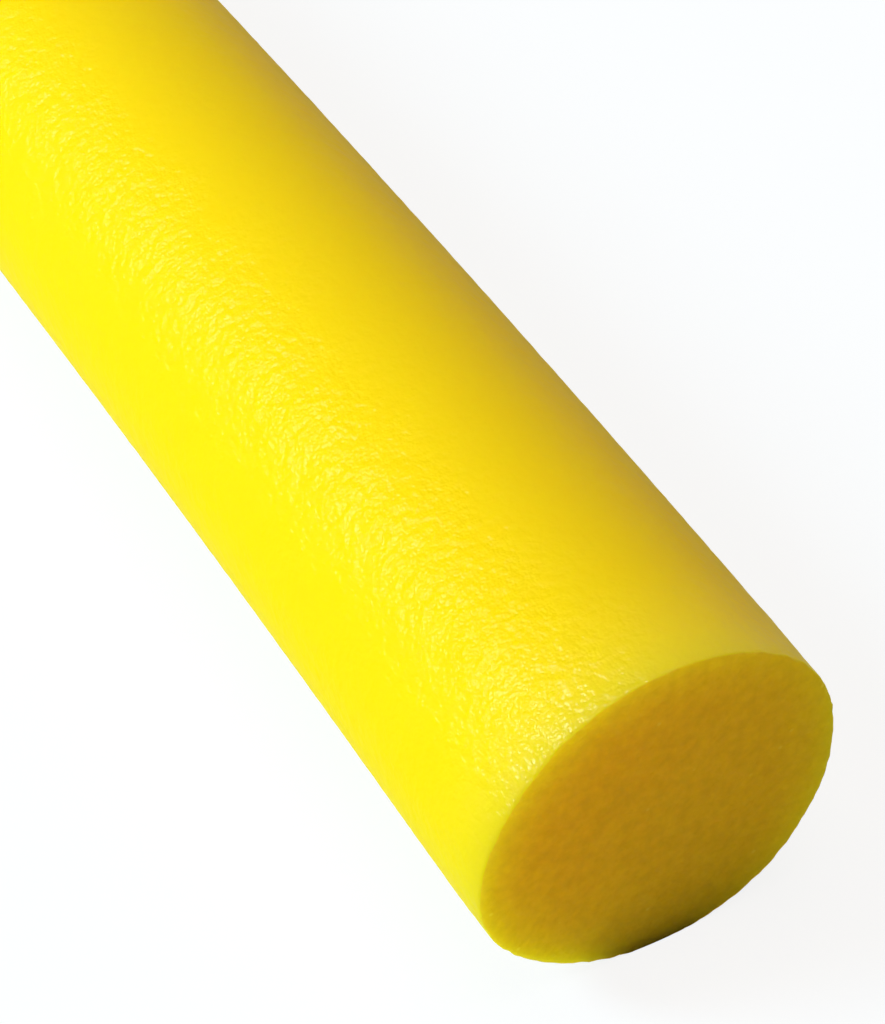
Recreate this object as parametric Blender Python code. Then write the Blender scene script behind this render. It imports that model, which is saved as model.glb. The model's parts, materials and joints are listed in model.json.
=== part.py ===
"""A solid pool noodle: one round log of closed-cell foam, cut square at both ends.

It lies on the floor along X, with a gentle bow in the floor's plane. The middle
stands towards +Y and both ends towards -Y. The origin is under the middle of the
bounding box, on the floor. All sizes are in metres, +Z is up.
"""

import math

import bmesh
import bpy
from mathutils import Matrix, Vector

# Driving sizes
NOODLE_LENGTH = 1.500  # along the centre line
NOODLE_DIAMETER = 0.065  # across the flats of the many-sided section
BOW_RADIUS = 5.600  # of the centre line, from coiling or standing in store

# How finely the round form is cut
SECTION_SIDES = 72
LENGTH_STEPS = 24
SHARP_ANGLE = math.radians(40)  # the side wall is smooth, the two cut rims are sharp

# Yellow polyethylene foam, with a satin skin
FOAM_COLOUR = (0.92, 0.62, 0.02, 1.0)
FOAM_ROUGHNESS = 0.48

RADIUS = NOODLE_DIAMETER / 2
CORNER_RADIUS = RADIUS / math.cos(math.pi / SECTION_SIDES)
END_ANGLE = NOODLE_LENGTH / BOW_RADIUS / 2  # how far each cut face turns in plan
BOW_HEIGHT = BOW_RADIUS * (1 - math.cos(END_ANGLE))
UP = Vector((0, 0, 1))


def clear_scene():
    for item in list(bpy.data.objects):
        bpy.data.objects.remove(item, do_unlink=True)


def foam_material():
    material = bpy.data.materials.new("yellow_pe_foam")
    material.use_nodes = True
    shader = material.node_tree.nodes["Principled BSDF"]
    shader.inputs["Base Color"].default_value = FOAM_COLOUR
    shader.inputs["Roughness"].default_value = FOAM_ROUGHNESS
    shader.inputs["Metallic"].default_value = 0
    material.diffuse_color = FOAM_COLOUR
    return material


def upright_section(bm):
    """The section at the middle of the noodle: a regular polygon in the YZ plane
    whose lowest side is level, so that the noodle rests on a flat strip."""
    half_side_turn = Matrix.Rotation(math.pi / SECTION_SIDES, 4, "Z")
    # Takes the polygon's first corner, on +Y, to the bottom and its normal to X.
    stand_up = Matrix(((0, 0, 1, 0), (1, 0, 0, 0), (0, -1, 0, 0), (0, 0, 0, 1)))
    bmesh.ops.create_circle(
        bm,
        segments=SECTION_SIDES,
        radius=CORNER_RADIUS,
        matrix=stand_up @ half_side_turn,
    )


def sweep_along_bow(bm):
    """Turns the section to the +X end about the bow's own centre, then spins it
    back past the middle to the other end."""
    bow_centre = Vector((0, -BOW_RADIUS, 0))
    bmesh.ops.rotate(
        bm,
        verts=bm.verts,
        cent=bow_centre,
        matrix=Matrix.Rotation(-END_ANGLE, 3, UP),
    )
    bmesh.ops.spin(
        bm,
        geom=bm.verts[:] + bm.edges[:],
        cent=bow_centre,
        axis=UP,
        angle=2 * END_ANGLE,
        steps=LENGTH_STEPS,
    )


def close_cut_ends(bm):
    rims = [edge for edge in bm.edges if edge.is_boundary]
    bmesh.ops.holes_fill(bm, edges=rims, sides=SECTION_SIDES)
    bmesh.ops.recalc_face_normals(bm, faces=bm.faces)


def foam_noodle():
    """The whole noodle. Skin and core are the same foam, foamed and cooled in one
    extrusion, so it is a single piece."""
    bm = bmesh.new()
    upright_section(bm)
    sweep_along_bow(bm)
    close_cut_ends(bm)
    mesh = bpy.data.meshes.new("foam_noodle")
    bm.to_mesh(mesh)
    bm.free()
    mesh.shade_smooth()
    mesh.set_sharp_from_angle(angle=SHARP_ANGLE)
    mesh.materials.append(foam_material())
    noodle = bpy.data.objects.new("foam_noodle", mesh)
    # The bow and the turned ends share the bounding box evenly about Y = 0.
    turned_end_saving = RADIUS * (1 - math.cos(END_ANGLE))
    noodle.location = (0, (BOW_HEIGHT - turned_end_saving) / 2, RADIUS)
    bpy.context.scene.collection.objects.link(noodle)
    return noodle


clear_scene()
foam_noodle()
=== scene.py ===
"""A yellow foam pool noodle on a white studio floor, seen close to one of its cut ends."""

import json
import math

import bmesh
import bpy
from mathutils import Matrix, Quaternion, Vector


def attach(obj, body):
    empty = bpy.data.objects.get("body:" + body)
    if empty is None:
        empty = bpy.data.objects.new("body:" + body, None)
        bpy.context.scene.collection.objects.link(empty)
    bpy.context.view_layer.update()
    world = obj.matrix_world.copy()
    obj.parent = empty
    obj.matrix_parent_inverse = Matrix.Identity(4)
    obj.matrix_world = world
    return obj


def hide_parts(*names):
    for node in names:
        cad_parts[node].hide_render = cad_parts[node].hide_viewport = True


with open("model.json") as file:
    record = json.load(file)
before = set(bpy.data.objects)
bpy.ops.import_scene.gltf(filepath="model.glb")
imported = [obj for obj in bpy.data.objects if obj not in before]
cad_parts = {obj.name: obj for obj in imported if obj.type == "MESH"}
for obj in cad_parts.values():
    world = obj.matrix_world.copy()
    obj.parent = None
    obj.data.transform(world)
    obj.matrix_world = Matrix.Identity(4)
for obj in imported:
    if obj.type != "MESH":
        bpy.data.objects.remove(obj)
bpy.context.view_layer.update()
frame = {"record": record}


# The noodle: one log of closed-cell polyethylene foam, extruded round and solid. Its own
# skin forms as it cools, and wrinkles finely as the gas in the outer cells shrinks. A
# knife cuts it square, and it keeps a gentle bow from being packed and stood in bins.
cut_end = next(m for m in frame["record"]["mounts"] if m["name"] == "cut_end")
END_X, END_Y, RADIUS = cut_end["pos_m"]
END_TURN = math.atan2(-cut_end["axis"][1], cut_end["axis"][0])
BOW_RADIUS = END_X / math.sin(END_TURN)
MIDDLE_Y = END_Y + BOW_RADIUS * (1 - math.cos(END_TURN))
LENGTH = 2 * END_TURN * BOW_RADIUS

QUARTER_SIDES = 60  # steps along a quarter of the round side, and across a cut face
RINGS = 380  # steps along the log
FINE_STEP = 0.0006  # between rings near the end that is seen from close by
FINE_STRETCH = 0.200  # how far back from that end the rings stay so close
RIM_CROWDING = 0.6  # by what share they draw closer together at a rim
RIM_CROWDING_REACH = 0.0035
FACE_CROWDING = 0.7  # the same for the rings of a cut face

NOISE_LOW, NOISE_HIGH = 0.3, 0.7  # a noise texture seldom goes past these
WRINKLE_HEIGHT = 0.000048
WRINKLE_WIDTH = 0.0030
FACE_RELIEF = 0.6  # the relief of a cut face, as a share of the skin's
RIM_SOFTNESS = 0.0006  # how far the knife-cut rim is rounded
CORNER_FALL = 1 - math.cos(math.pi / 4)  # of a rounded corner, as a share of its radius
TEAR_HEIGHT = 0.00016  # how far torn cells move the cut edge in and out
TEAR_WIDTH = 0.0025
TEAR_REACH = 0.0012  # how far back from the cut the edge is torn
TEAR_POWER = 8  # how closely the tears keep to the rim of a face
FLOOR_CONTACT = 0.00015  # how deep its weight presses the lowest line flat

# How far the knife squeezed the rim out of round: degrees round it, from +Y over the top,
# and mm outwards. It fades over the reach, back from the cut.
KNIFE_SQUEEZE = ((0, -0.6), (45, 0.0), (95, -0.1), (120, -0.6), (150, -1.6), (175, -1.0),
                 (195, -0.45), (235, -0.7), (270, 0.4), (303, 1.15), (328, 0.25),
                 (345, -0.2), (360, -0.6))
KNIFE_REACH = 0.007
SQUEEZE_SPAN = 0.010  # what the whole height of the squeeze curve stands for

# The body of the foam, under the skin and at the cut: light soaks deep into it, red the
# deepest and blue hardly at all, and its cells leave no smooth surface to mirror anything
FOAM_BODY = {"Subsurface Weight": 1, "Subsurface Radius": (1, 0.85, 0.11),
             "Subsurface Scale": 0.032, "IOR": 1.02}


def add(tree, kind, inputs, **settings):
    """Adds a node. Its inputs are a dictionary, or values in the order of its sockets. An
    input is a plain value, a socket, or a node for its first output."""
    made = tree.nodes.new(kind)
    for name, value in settings.items():
        setattr(made, name, value)
    pairs = inputs.items() if isinstance(inputs, dict) else enumerate(inputs)
    for key, value in pairs:
        if isinstance(value, bpy.types.Node):
            value = next(o for o in value.outputs if o.enabled)
        if isinstance(value, bpy.types.NodeSocket):
            tree.links.new(value, made.inputs[key])
        else:
            made.inputs[key].default_value = value
    return made


def emptied_tree(owner):
    """Turns on the nodes of a material or world, and returns its tree without any node."""
    owner.use_nodes = True
    owner.node_tree.nodes.clear()
    return owner.node_tree


def linear(hex_colour):
    """An sRGB hex colour as linear RGBA."""
    parts = [int(hex_colour[i : i + 2], 16) / 255 for i in (1, 3, 5)]
    return [c / 12.92 if c <= 0.04045 else ((c + 0.055) / 1.055) ** 2.4 for c in parts] + [1]


def foam_skin():
    """Polyethylene foam skin, as extruded: a thin glossy film over matt foam, puckered
    finely, so that a lamp breaks into many small dashes on it."""
    pucker_width, patch_width = 0.0019, 0.009
    low_pucker, high_pucker = 0.0006, 0.0010
    worked_reach, worked_height = 0.050, 1.3
    gloss_reach, gloss, end_gloss = 0.020, 0.045, 0.11
    film_ior = 2.4  # polyethylene has 1.51, and the glints on the real skin ask for more
    body_share = 0.15  # how much of a pucker the foam under the film follows

    material = bpy.data.materials.new("polyethylene_foam_skin")
    tree = emptied_tree(material)
    place = add(tree, "ShaderNodeTexCoord", {}).outputs["Object"]
    puckers = add(tree, "ShaderNodeTexNoise",
                  {"Vector": place, "Scale": 1 / pucker_width, "Detail": 2, "Roughness": 0.55})
    # The puckers are taller in patches where the skin shrank more, and towards both ends,
    # which the knife and hands worked
    patches = add(tree, "ShaderNodeTexNoise",
                  {"Vector": place, "Scale": 1 / patch_width, "Detail": 1})
    patchy = add(tree, "ShaderNodeMapRange",
                 {"Value": patches, "From Min": NOISE_LOW, "From Max": NOISE_HIGH,
                  "To Min": low_pucker, "To Max": high_pucker})
    along = add(tree, "ShaderNodeSeparateXYZ", (place,)).outputs["X"]
    out = add(tree, "ShaderNodeMath", (along,), operation="ABSOLUTE")
    worked = add(tree, "ShaderNodeMapRange",
                 {"Value": out, "From Min": END_X - worked_reach, "From Max": END_X,
                  "To Min": 1, "To Max": worked_height})
    tall = add(tree, "ShaderNodeMath", (patchy, worked), operation="MULTIPLY")
    height = add(tree, "ShaderNodeMath", (puckers, tall), operation="MULTIPLY")
    film = add(tree, "ShaderNodeBump", {"Height": height, "Strength": 1, "Distance": 1})
    body = add(tree, "ShaderNodeBump",
               {"Height": height, "Strength": body_share, "Distance": 1})
    glossy = add(tree, "ShaderNodeMapRange",
                 {"Value": out, "From Min": END_X - gloss_reach, "From Max": END_X,
                  "To Min": gloss, "To Max": end_gloss})
    shader = add(tree, "ShaderNodeBsdfPrincipled",
                 {**FOAM_BODY, "Base Color": linear("#F2DA00"), "Roughness": 0.6, "Normal": body,
                  "Coat Weight": glossy, "Coat Roughness": 0.22, "Coat IOR": film_ior,
                  "Coat Normal": film, "Sheen Weight": 0.14, "Sheen Roughness": 0.3})
    add(tree, "ShaderNodeOutputMaterial", {"Surface": shader})
    return material


def foam_cut():
    """Polyethylene foam as the knife leaves it: matt and faintly mottled by its opened
    cells, which trap light, so that the yellow is deeper here than on the skin."""
    cell_width, cell_height = 0.0013, 0.0002
    grain_width, grain_dark, grain_light = 0.0022, 0.93, 1.05
    speck_spacing, speck_core, speck_edge, speck_strength = 0.0055, 0.04, 0.09, 0.5

    material = bpy.data.materials.new("polyethylene_foam_cut")
    tree = emptied_tree(material)
    place = add(tree, "ShaderNodeTexCoord", {}).outputs["Object"]
    grain = add(tree, "ShaderNodeTexNoise",
                {"Vector": place, "Scale": 1 / grain_width, "Detail": 3})
    shade = add(tree, "ShaderNodeMapRange",
                {"Value": grain, "From Min": NOISE_LOW, "From Max": NOISE_HIGH,
                 "To Min": grain_dark, "To Max": grain_light})
    mottled = add(tree, "ShaderNodeVectorMath", {0: linear("#F4CB28")[:3], "Scale": shade},
                  operation="SCALE")
    # A few torn cell walls stand up and look pale. A Mix node's colours are sockets 6 and 7.
    specks = add(tree, "ShaderNodeTexVoronoi",
                 {"Vector": place, "Scale": 1 / speck_spacing}, feature="F1")
    pale = add(tree, "ShaderNodeMapRange",
               {"Value": specks, "From Min": speck_core, "From Max": speck_edge,
                "To Min": speck_strength, "To Max": 0})
    colour = add(tree, "ShaderNodeMix", {0: pale, 6: mottled, 7: linear("#FFE24A")},
                 data_type="RGBA")
    cells = add(tree, "ShaderNodeTexVoronoi",
                {"Vector": place, "Scale": 1 / cell_width}, feature="F1")
    height = add(tree, "ShaderNodeMath", (cells, cell_height), operation="MULTIPLY")
    bump = add(tree, "ShaderNodeBump", {"Height": height, "Strength": 1, "Distance": 1})
    shader = add(tree, "ShaderNodeBsdfPrincipled",
                 {**FOAM_BODY, "Base Color": colour, "Roughness": 0.9, "Normal": bump})
    add(tree, "ShaderNodeOutputMaterial", {"Surface": shader})
    return material


def noodle_form():
    """Builds the log from a box of square cells. Its square section is drawn round, its
    skin is wrinkled, its rims are softened, and the straight log is bent to the bow. It
    returns the tree, and the value of each of its inputs by name."""
    tree = bpy.data.node_groups.new("noodle_form", "GeometryNodeTree")
    inputs = (("Length", "NodeSocketFloat", LENGTH),
              ("Radius", "NodeSocketFloat", RADIUS),
              ("Bow radius", "NodeSocketFloat", BOW_RADIUS),
              ("Middle Y", "NodeSocketFloat", MIDDLE_Y),
              ("Quarter sides", "NodeSocketInt", QUARTER_SIDES),
              ("Rings", "NodeSocketInt", RINGS),
              ("Fine step", "NodeSocketFloat", FINE_STEP),
              ("Fine stretch", "NodeSocketFloat", FINE_STRETCH),
              ("Wrinkle height", "NodeSocketFloat", WRINKLE_HEIGHT),
              ("Wrinkle width", "NodeSocketFloat", WRINKLE_WIDTH),
              ("Rim softness", "NodeSocketFloat", RIM_SOFTNESS),
              ("Tear height", "NodeSocketFloat", TEAR_HEIGHT),
              ("Tear width", "NodeSocketFloat", TEAR_WIDTH),
              ("Tear reach", "NodeSocketFloat", TEAR_REACH),
              ("Knife reach", "NodeSocketFloat", KNIFE_REACH),
              ("Floor contact", "NodeSocketFloat", FLOOR_CONTACT),
              ("Skin", "NodeSocketMaterial", foam_skin()),
              ("Cut foam", "NodeSocketMaterial", foam_cut()))
    for name, kind, _ in inputs:
        tree.interface.new_socket(name, in_out="INPUT", socket_type=kind)
    tree.interface.new_socket("Noodle", in_out="OUTPUT", socket_type="NodeSocketGeometry")
    asked = add(tree, "NodeGroupInput", {}).outputs

    def fading(distance, reach):
        """1 at no distance, and less and less from there: a good third at the reach."""
        reaches = add(tree, "ShaderNodeMath", (distance, reach), operation="DIVIDE")
        return add(tree, "ShaderNodeMath", (1 / math.e, reaches), operation="POWER")

    def pull(distance):
        """How far a ring at this distance from a cut is drawn towards it."""
        most = add(tree, "ShaderNodeMath", (distance, RIM_CROWDING), operation="MULTIPLY")
        return add(tree, "ShaderNodeMath", (most, fading(distance, RIM_CROWDING_REACH)),
                   operation="MULTIPLY")

    def waves(where, width, height, detail):
        """A random relief of this height up and down, in waves of about this width."""
        scale = add(tree, "ShaderNodeMath", (1, width), operation="DIVIDE")
        noise = add(tree, "ShaderNodeTexNoise",
                    {"Vector": where, "Scale": scale, "Detail": detail})
        level = add(tree, "ShaderNodeMapRange",
                    {"Value": noise, "From Min": NOISE_LOW, "From Max": NOISE_HIGH,
                     "To Min": -1, "To Max": 1}, clamp=False)
        return add(tree, "ShaderNodeMath", (level, height), operation="MULTIPLY")

    # A box from -1 to 1 across, and from 0 to 1 along
    points_across = add(tree, "ShaderNodeMath", (asked["Quarter sides"], 1), operation="ADD")
    points_along = add(tree, "ShaderNodeMath", (asked["Rings"], 1), operation="ADD")
    box = add(tree, "GeometryNodeMeshCube",
              {"Size": (2, 2, 1), "Vertices X": points_across, "Vertices Y": points_across,
               "Vertices Z": points_along})
    place = add(tree, "GeometryNodeInputPosition", {})
    a, b, c = add(tree, "ShaderNodeSeparateXYZ", (place,)).outputs
    along = add(tree, "ShaderNodeMath", (c, 0.5), operation="ADD")

    # The square drawn round: its rings of cells become rings of a circle, in even steps
    a_size = add(tree, "ShaderNodeMath", (a,), operation="ABSOLUTE")
    b_size = add(tree, "ShaderNodeMath", (b,), operation="ABSOLUTE")
    share = add(tree, "ShaderNodeMath", (a_size, b_size), operation="MAXIMUM")
    wide = add(tree, "ShaderNodeMath", (a_size, b_size), operation="GREATER_THAN")
    rise = add(tree, "ShaderNodeMath", (b, a), operation="DIVIDE")
    lean = add(tree, "ShaderNodeMath", (a, b), operation="DIVIDE")
    from_level = add(tree, "ShaderNodeMath", (rise, math.pi / 4), operation="MULTIPLY")
    from_upright = add(tree, "ShaderNodeMath", (lean, -math.pi / 4, math.pi / 2),
                       operation="MULTIPLY_ADD")
    turned = add(tree, "GeometryNodeSwitch", (wide, from_upright, from_level),
                 input_type="FLOAT")
    longer = add(tree, "GeometryNodeSwitch", (wide, b, a), input_type="FLOAT")
    sign = add(tree, "ShaderNodeMath", (longer,), operation="SIGN")
    cosine = add(tree, "ShaderNodeMath", (turned,), operation="COSINE")
    sine = add(tree, "ShaderNodeMath", (turned,), operation="SINE")
    side_unit = add(tree, "ShaderNodeMath", (cosine, sign), operation="MULTIPLY")
    up_unit = add(tree, "ShaderNodeMath", (sine, sign), operation="MULTIPLY")

    # Rings of a cut face crowd towards its rim
    spare = add(tree, "ShaderNodeMath", (share, -FACE_CROWDING, 1 + FACE_CROWDING),
                operation="MULTIPLY_ADD")
    crowded = add(tree, "ShaderNodeMath", (share, spare), operation="MULTIPLY")
    reach = add(tree, "ShaderNodeMath", (crowded, asked["Radius"]), operation="MULTIPLY")

    # Rings of the side are even over the fine stretch, and far apart past it
    even = add(tree, "ShaderNodeMath", (asked["Fine step"], asked["Rings"]),
               operation="MULTIPLY")
    spread = add(tree, "ShaderNodeMath", (asked["Length"], even), operation="SUBTRACT")
    fine_share = add(tree, "ShaderNodeMath", (asked["Fine stretch"], even), operation="DIVIDE")
    past = add(tree, "ShaderNodeMapRange",
               {"Value": along, "From Min": fine_share, "From Max": 1},
               interpolation_type="SMOOTHSTEP")
    spread_past = add(tree, "ShaderNodeMath", (spread, past), operation="MULTIPLY")
    spaced = add(tree, "ShaderNodeMath", (along, even, spread_past), operation="MULTIPLY_ADD")
    # They crowd towards both rims too
    left_over = add(tree, "ShaderNodeMath", (asked["Length"], spaced), operation="SUBTRACT")
    pulled = add(tree, "ShaderNodeMath", (spaced, pull(spaced)), operation="SUBTRACT")
    run = add(tree, "ShaderNodeMath", (pulled, pull(left_over)), operation="ADD")
    run_left = add(tree, "ShaderNodeMath", (asked["Length"], run), operation="SUBTRACT")
    to_end = add(tree, "ShaderNodeMath", (run, run_left), operation="MINIMUM")
    half_length = add(tree, "ShaderNodeMath", (asked["Length"], 0.5), operation="MULTIPLY")
    from_middle = add(tree, "ShaderNodeMath", (run, half_length), operation="SUBTRACT")
    facing = add(tree, "ShaderNodeMath", (from_middle,), operation="SIGN")
    # Which points lie on the round side and on a cut face, with room for rounding errors.
    # The rims lie on both.
    on_side = add(tree, "ShaderNodeMath", (share, 0.9999), operation="GREATER_THAN")
    on_face = add(tree, "ShaderNodeMath", (to_end, 0.000001), operation="LESS_THAN")

    # The knife squeezes the end out of round
    angle = add(tree, "ShaderNodeMath", (up_unit, side_unit), operation="ARCTAN2")
    turns = add(tree, "ShaderNodeMath", (angle, math.tau), operation="DIVIDE")
    around = add(tree, "ShaderNodeMath", (turns,), operation="FRACT")
    squeeze = add(tree, "ShaderNodeFloatCurve", {"Value": around})
    curve = squeeze.mapping
    curve.use_clip = False
    points = curve.curves[0].points
    for k, (degrees, outwards_mm) in enumerate(KNIFE_SQUEEZE):
        at = (degrees / 360, 0.5 + outwards_mm / 1000 / SQUEEZE_SPAN)
        point = points[k] if k < 2 else points.new(*at)
        point.location = at
    curve.update()
    most = add(tree, "ShaderNodeMapRange",
               {"Value": squeeze, "To Min": -SQUEEZE_SPAN / 2, "To Max": SQUEEZE_SPAN / 2},
               clamp=False)
    squeezed = add(tree, "ShaderNodeMath", (most, fading(to_end, asked["Knife reach"])),
                   operation="MULTIPLY")

    # The rim is softened: the side and the face both fall away towards it
    fall = add(tree, "ShaderNodeMath", (asked["Rim softness"], -CORNER_FALL),
               operation="MULTIPLY")
    to_rim = add(tree, "ShaderNodeMath", (asked["Radius"], reach), operation="SUBTRACT")
    falls = []
    for distance in (to_end, to_rim):
        near = add(tree, "ShaderNodeMapRange",
                   {"Value": distance, "From Max": asked["Rim softness"], "To Min": 1,
                    "To Max": 0})
        rounded = add(tree, "ShaderNodeMath", (near, 2), operation="POWER")
        falls.append(add(tree, "ShaderNodeMath", (rounded, fall), operation="MULTIPLY"))
    side_fall, face_fall = falls

    # Wrinkles of the skin, which are also the relief of a cut face
    section_side = add(tree, "ShaderNodeMath", (side_unit, reach), operation="MULTIPLY")
    section_up = add(tree, "ShaderNodeMath", (up_unit, reach), operation="MULTIPLY")
    straight = add(tree, "ShaderNodeCombineXYZ", (run, section_side, section_up))
    relief = waves(straight, asked["Wrinkle width"], asked["Wrinkle height"], detail=1.5)

    # Torn cells leave the cut edge a little ragged
    rim_side = add(tree, "ShaderNodeMath", (side_unit, asked["Radius"]), operation="MULTIPLY")
    rim_up = add(tree, "ShaderNodeMath", (up_unit, asked["Radius"]), operation="MULTIPLY")
    on_rim = add(tree, "ShaderNodeCombineXYZ", (facing, rim_side, rim_up))
    torn = waves(on_rim, asked["Tear width"], asked["Tear height"], detail=1)
    outermost = add(tree, "ShaderNodeMath", (crowded, TEAR_POWER), operation="POWER")
    at_rim = add(tree, "ShaderNodeMath", (outermost, fading(to_end, asked["Tear reach"])),
                 operation="MULTIPLY")

    # All of these move a point of the section outwards, and less towards its middle
    outwards = add(tree, "ShaderNodeMath", (relief, on_side, squeezed),
                   operation="MULTIPLY_ADD")
    outwards = add(tree, "ShaderNodeMath", (torn, at_rim, outwards), operation="MULTIPLY_ADD")
    outwards = add(tree, "ShaderNodeMath", (outwards, side_fall), operation="ADD")
    reach = add(tree, "ShaderNodeMath", (outwards, crowded, reach), operation="MULTIPLY_ADD")
    # The relief of a face points along the log, and out at either end
    face_relief = add(tree, "ShaderNodeMath", (relief, FACE_RELIEF, face_fall),
                      operation="MULTIPLY_ADD")
    endwards = add(tree, "ShaderNodeMath", (on_face, facing), operation="MULTIPLY")
    from_middle = add(tree, "ShaderNodeMath", (face_relief, endwards, from_middle),
                      operation="MULTIPLY_ADD")

    # The noodle rests on the floor, and its bow is wound round a far centre
    y = add(tree, "ShaderNodeMath", (side_unit, reach, asked["Middle Y"]),
            operation="MULTIPLY_ADD")
    axis_height = add(tree, "ShaderNodeMath", (asked["Radius"], asked["Floor contact"]),
                      operation="SUBTRACT")
    pressed = add(tree, "ShaderNodeMath", (up_unit, reach, axis_height),
                  operation="MULTIPLY_ADD")
    z = add(tree, "ShaderNodeMath", (pressed, 0), operation="MAXIMUM")
    section = add(tree, "ShaderNodeCombineXYZ", (0, y, z))
    centre_y = add(tree, "ShaderNodeMath", (asked["Middle Y"], asked["Bow radius"]),
                   operation="SUBTRACT")
    centre = add(tree, "ShaderNodeCombineXYZ", (0, centre_y, 0))
    turn = add(tree, "ShaderNodeMath", (from_middle, asked["Bow radius"]), operation="DIVIDE")
    wound = add(tree, "ShaderNodeVectorRotate",
                {"Vector": section, "Center": centre, "Angle": turn}, rotation_type="Z_AXIS")

    # Faces with all their points on a cut end are marked while the box is still a box
    marked = add(tree, "GeometryNodeCaptureAttribute", {"Geometry": box}, domain="FACE")
    marked.capture_items.new("FLOAT", "On cut")
    tree.links.new(on_face.outputs[0], marked.inputs["On cut"])
    bent = add(tree, "GeometryNodeSetPosition", {"Geometry": marked, "Position": wound})
    turned_out = add(tree, "GeometryNodeFlipFaces", {"Mesh": bent})
    smooth = add(tree, "GeometryNodeSetShadeSmooth", {"Geometry": turned_out})
    whole = add(tree, "GeometryNodeRealizeInstances", {"Geometry": smooth})
    skinned = add(tree, "GeometryNodeSetMaterial",
                  {"Geometry": whole, "Material": asked["Skin"]})
    is_cut = add(tree, "ShaderNodeMath", (marked.outputs["On cut"], 0.99),
                 operation="GREATER_THAN")
    cut = add(tree, "GeometryNodeSetMaterial",
              {"Geometry": skinned, "Selection": is_cut, "Material": asked["Cut foam"]})
    add(tree, "NodeGroupOutput", {"Noodle": cut})
    return tree, {name: value for name, _, value in inputs}


tree, values = noodle_form()
source = bpy.data.objects.new("noodle_source", bpy.data.meshes.new("noodle_source"))
bpy.context.scene.collection.objects.link(source)
form = source.modifiers.new("form", "NODES")
form.node_group = tree
for socket in tree.interface.items_tree:
    if socket.in_out == "INPUT":
        form[socket.identifier] = values[socket.name]
shaped = source.evaluated_get(bpy.context.evaluated_depsgraph_get())
mesh = bpy.data.meshes.new_from_object(shaped)
mesh.name = "noodle"
mesh.materials.pop(index=0)  # the slot that a box of no material brings along
noodle = bpy.data.objects.new("noodle", mesh)
bpy.context.scene.collection.objects.link(noodle)
bpy.data.objects.remove(source)
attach(noodle, "root")
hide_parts("foam_noodle")


# The studio floor: a wide white sheet. The camera and mirror-like surfaces see it white,
# with the noodle's soft shadow; light that bounces off it is kept to that of pale grey.
FLOOR_REACH = 40.0
FLOOR_SIDES = 64
FLOOR_GLOW = 0.87  # how white it is seen where no lamp reaches it
BOUNCE_PAINT = linear("#E7E7E7")
SHADOW_PAINT = linear("#5F6C77")  # bluish, so that the warm light overhead doesn't tint it


def seen_straight(tree):
    """1 for what the camera sees, also in a mirror or through glass, and 0 for light that
    only bounces."""
    path = add(tree, "ShaderNodeLightPath", {}).outputs
    seen = add(tree, "ShaderNodeMath", (path["Is Camera Ray"], path["Is Glossy Ray"]),
               operation="MAXIMUM")
    return add(tree, "ShaderNodeMath", (seen, path["Is Transmission Ray"]),
               operation="MAXIMUM")


bm = bmesh.new()
bmesh.ops.create_circle(bm, cap_ends=True, segments=FLOOR_SIDES, radius=FLOOR_REACH)
floor_mesh = bpy.data.meshes.new("floor")
bm.to_mesh(floor_mesh)
bm.free()
floor = bpy.data.objects.new("floor", floor_mesh)
bpy.context.scene.collection.objects.link(floor)
paint = bpy.data.materials.new("white_studio_floor")
tree = emptied_tree(paint)
bounced = add(tree, "ShaderNodeBsdfDiffuse", {"Color": BOUNCE_PAINT})
lit = add(tree, "ShaderNodeBsdfDiffuse", {"Color": SHADOW_PAINT})
glow = add(tree, "ShaderNodeEmission", {"Color": linear("#FFFFFF"), "Strength": FLOOR_GLOW})
white = add(tree, "ShaderNodeAddShader", (lit, glow))
mixed = add(tree, "ShaderNodeMixShader", (seen_straight(tree), bounced, white))
add(tree, "ShaderNodeOutputMaterial", {"Surface": mixed})
floor_mesh.materials.append(paint)


# The light: a key softbox behind the noodle on the left, a weaker one low on the left, a
# warm one overhead, a faint one on the right, and a dim room. The right side and the near
# cut face are left in half shade.
LAMP_DISTANCE = 6.0
ROOM_LIGHT = (0.02, 0.016, 0.012, 1)


def softbox(name, direction, width, height, share, roll=0, colour=(1, 1, 1)):
    """A softbox that lights a white card facing it to the given share of full white. It
    stands in the given direction from the near end, and is rolled by some degrees."""
    lamp = bpy.data.lights.new(name, "AREA")
    lamp.shape = "RECTANGLE"
    lamp.size = width
    lamp.size_y = height
    lamp.energy = share * math.pi**2 * LAMP_DISTANCE**2
    lamp.color = colour
    box = bpy.data.objects.new(name, lamp)
    direction = Vector(direction).normalized()
    box.location = Vector((END_X, END_Y, RADIUS)) + direction * LAMP_DISTANCE
    box.rotation_mode = "QUATERNION"
    rolled = Quaternion((0, 0, 1), math.radians(roll))
    box.rotation_quaternion = direction.to_track_quat("Z", "Y") @ rolled
    box.visible_camera = False
    bpy.context.scene.collection.objects.link(box)


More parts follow.
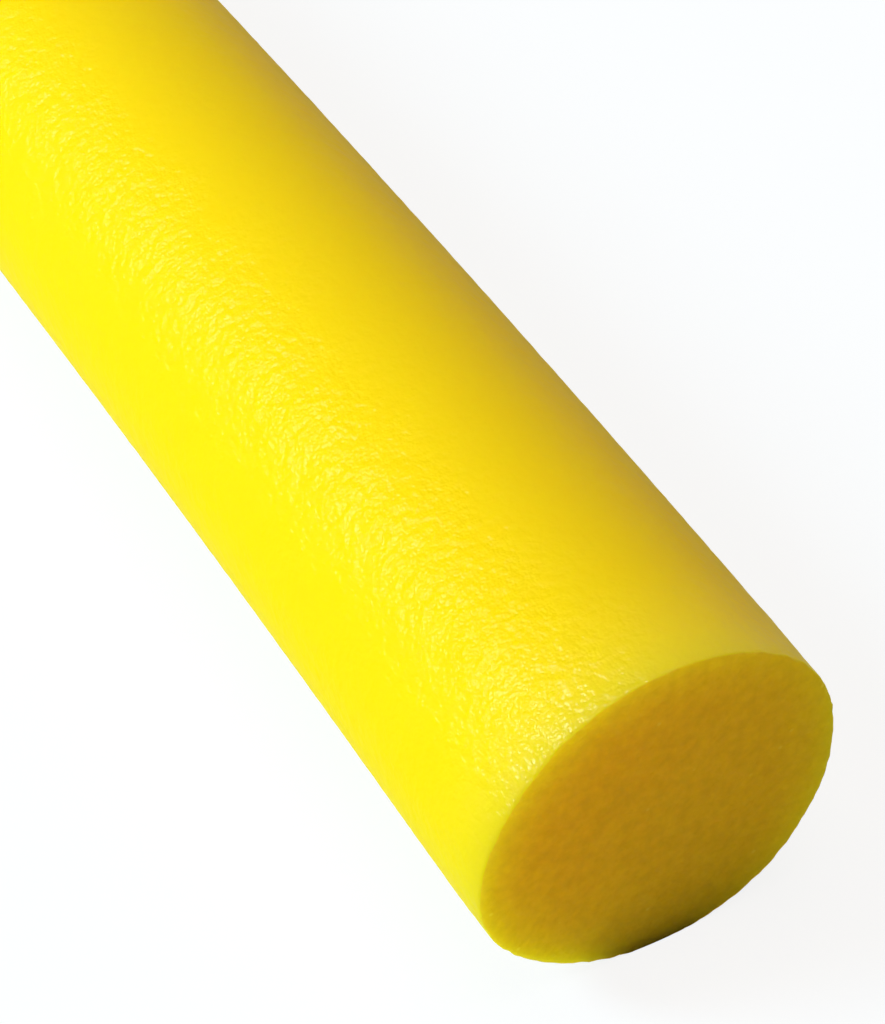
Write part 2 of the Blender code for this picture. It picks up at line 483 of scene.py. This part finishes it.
softbox("key_softbox", (-0.5, -0.64, 0.63), width=3.0, height=1.3, share=0.85, roll=64,
        colour=(0.86, 1, 1))
softbox("low_softbox", (-0.3, -0.93, 0.2), width=4.5, height=1.9, share=0.18)
softbox("right_softbox", (-0.3, 0.95, 0.08), width=4.0, height=1.6, share=0.075)
softbox("ceiling_softbox", (0, 0, 1), width=4.0, height=4.0, share=0.52,
        colour=(1, 0.66, 0.47))

world = bpy.data.worlds.new("studio_room")
bpy.context.scene.world = world
tree = emptied_tree(world)
room = add(tree, "ShaderNodeBackground", {"Color": ROOM_LIGHT, "Strength": 1})
backdrop = add(tree, "ShaderNodeBackground", {"Color": linear("#FFFFFF"), "Strength": 1})
mixed = add(tree, "ShaderNodeMixShader", (seen_straight(tree), room, backdrop))
add(tree, "ShaderNodeOutputWorld", {"Surface": mixed})


# The camera: held level, looking down on the near end from beside it. It is placed so that
# the middle of the cut end shows at its pixel of the photograph's frame.
IMAGE_WIDTH, IMAGE_HEIGHT = 885, 1024
FOCAL_PIXELS = 3205  # the focal length in pixels
END_CENTRE_PIXEL = (660.1, 814.2)
END_DEPTH = 15.152 * RADIUS  # along the line of sight
AZIMUTH = math.radians(53.48)
ELEVATION = math.radians(44.66)

camera = bpy.data.objects.new("camera", bpy.data.cameras.new("camera"))
camera.data.sensor_width = 36  # mm, along the taller side of the frame
camera.data.lens = camera.data.sensor_width * FOCAL_PIXELS / IMAGE_HEIGHT
camera.rotation_euler = (math.pi / 2 - ELEVATION, 0, AZIMUTH)
camera_turn = camera.rotation_euler.to_matrix()
end_seen = Vector(((END_CENTRE_PIXEL[0] - IMAGE_WIDTH / 2) / FOCAL_PIXELS,
                   (IMAGE_HEIGHT / 2 - END_CENTRE_PIXEL[1]) / FOCAL_PIXELS, -1)) * END_DEPTH
camera.location = Vector((END_X, END_Y, RADIUS)) - camera_turn @ end_seen
bpy.context.scene.collection.objects.link(camera)
bpy.context.scene.camera = camera
bpy.context.scene.view_settings.view_transform = "Standard"
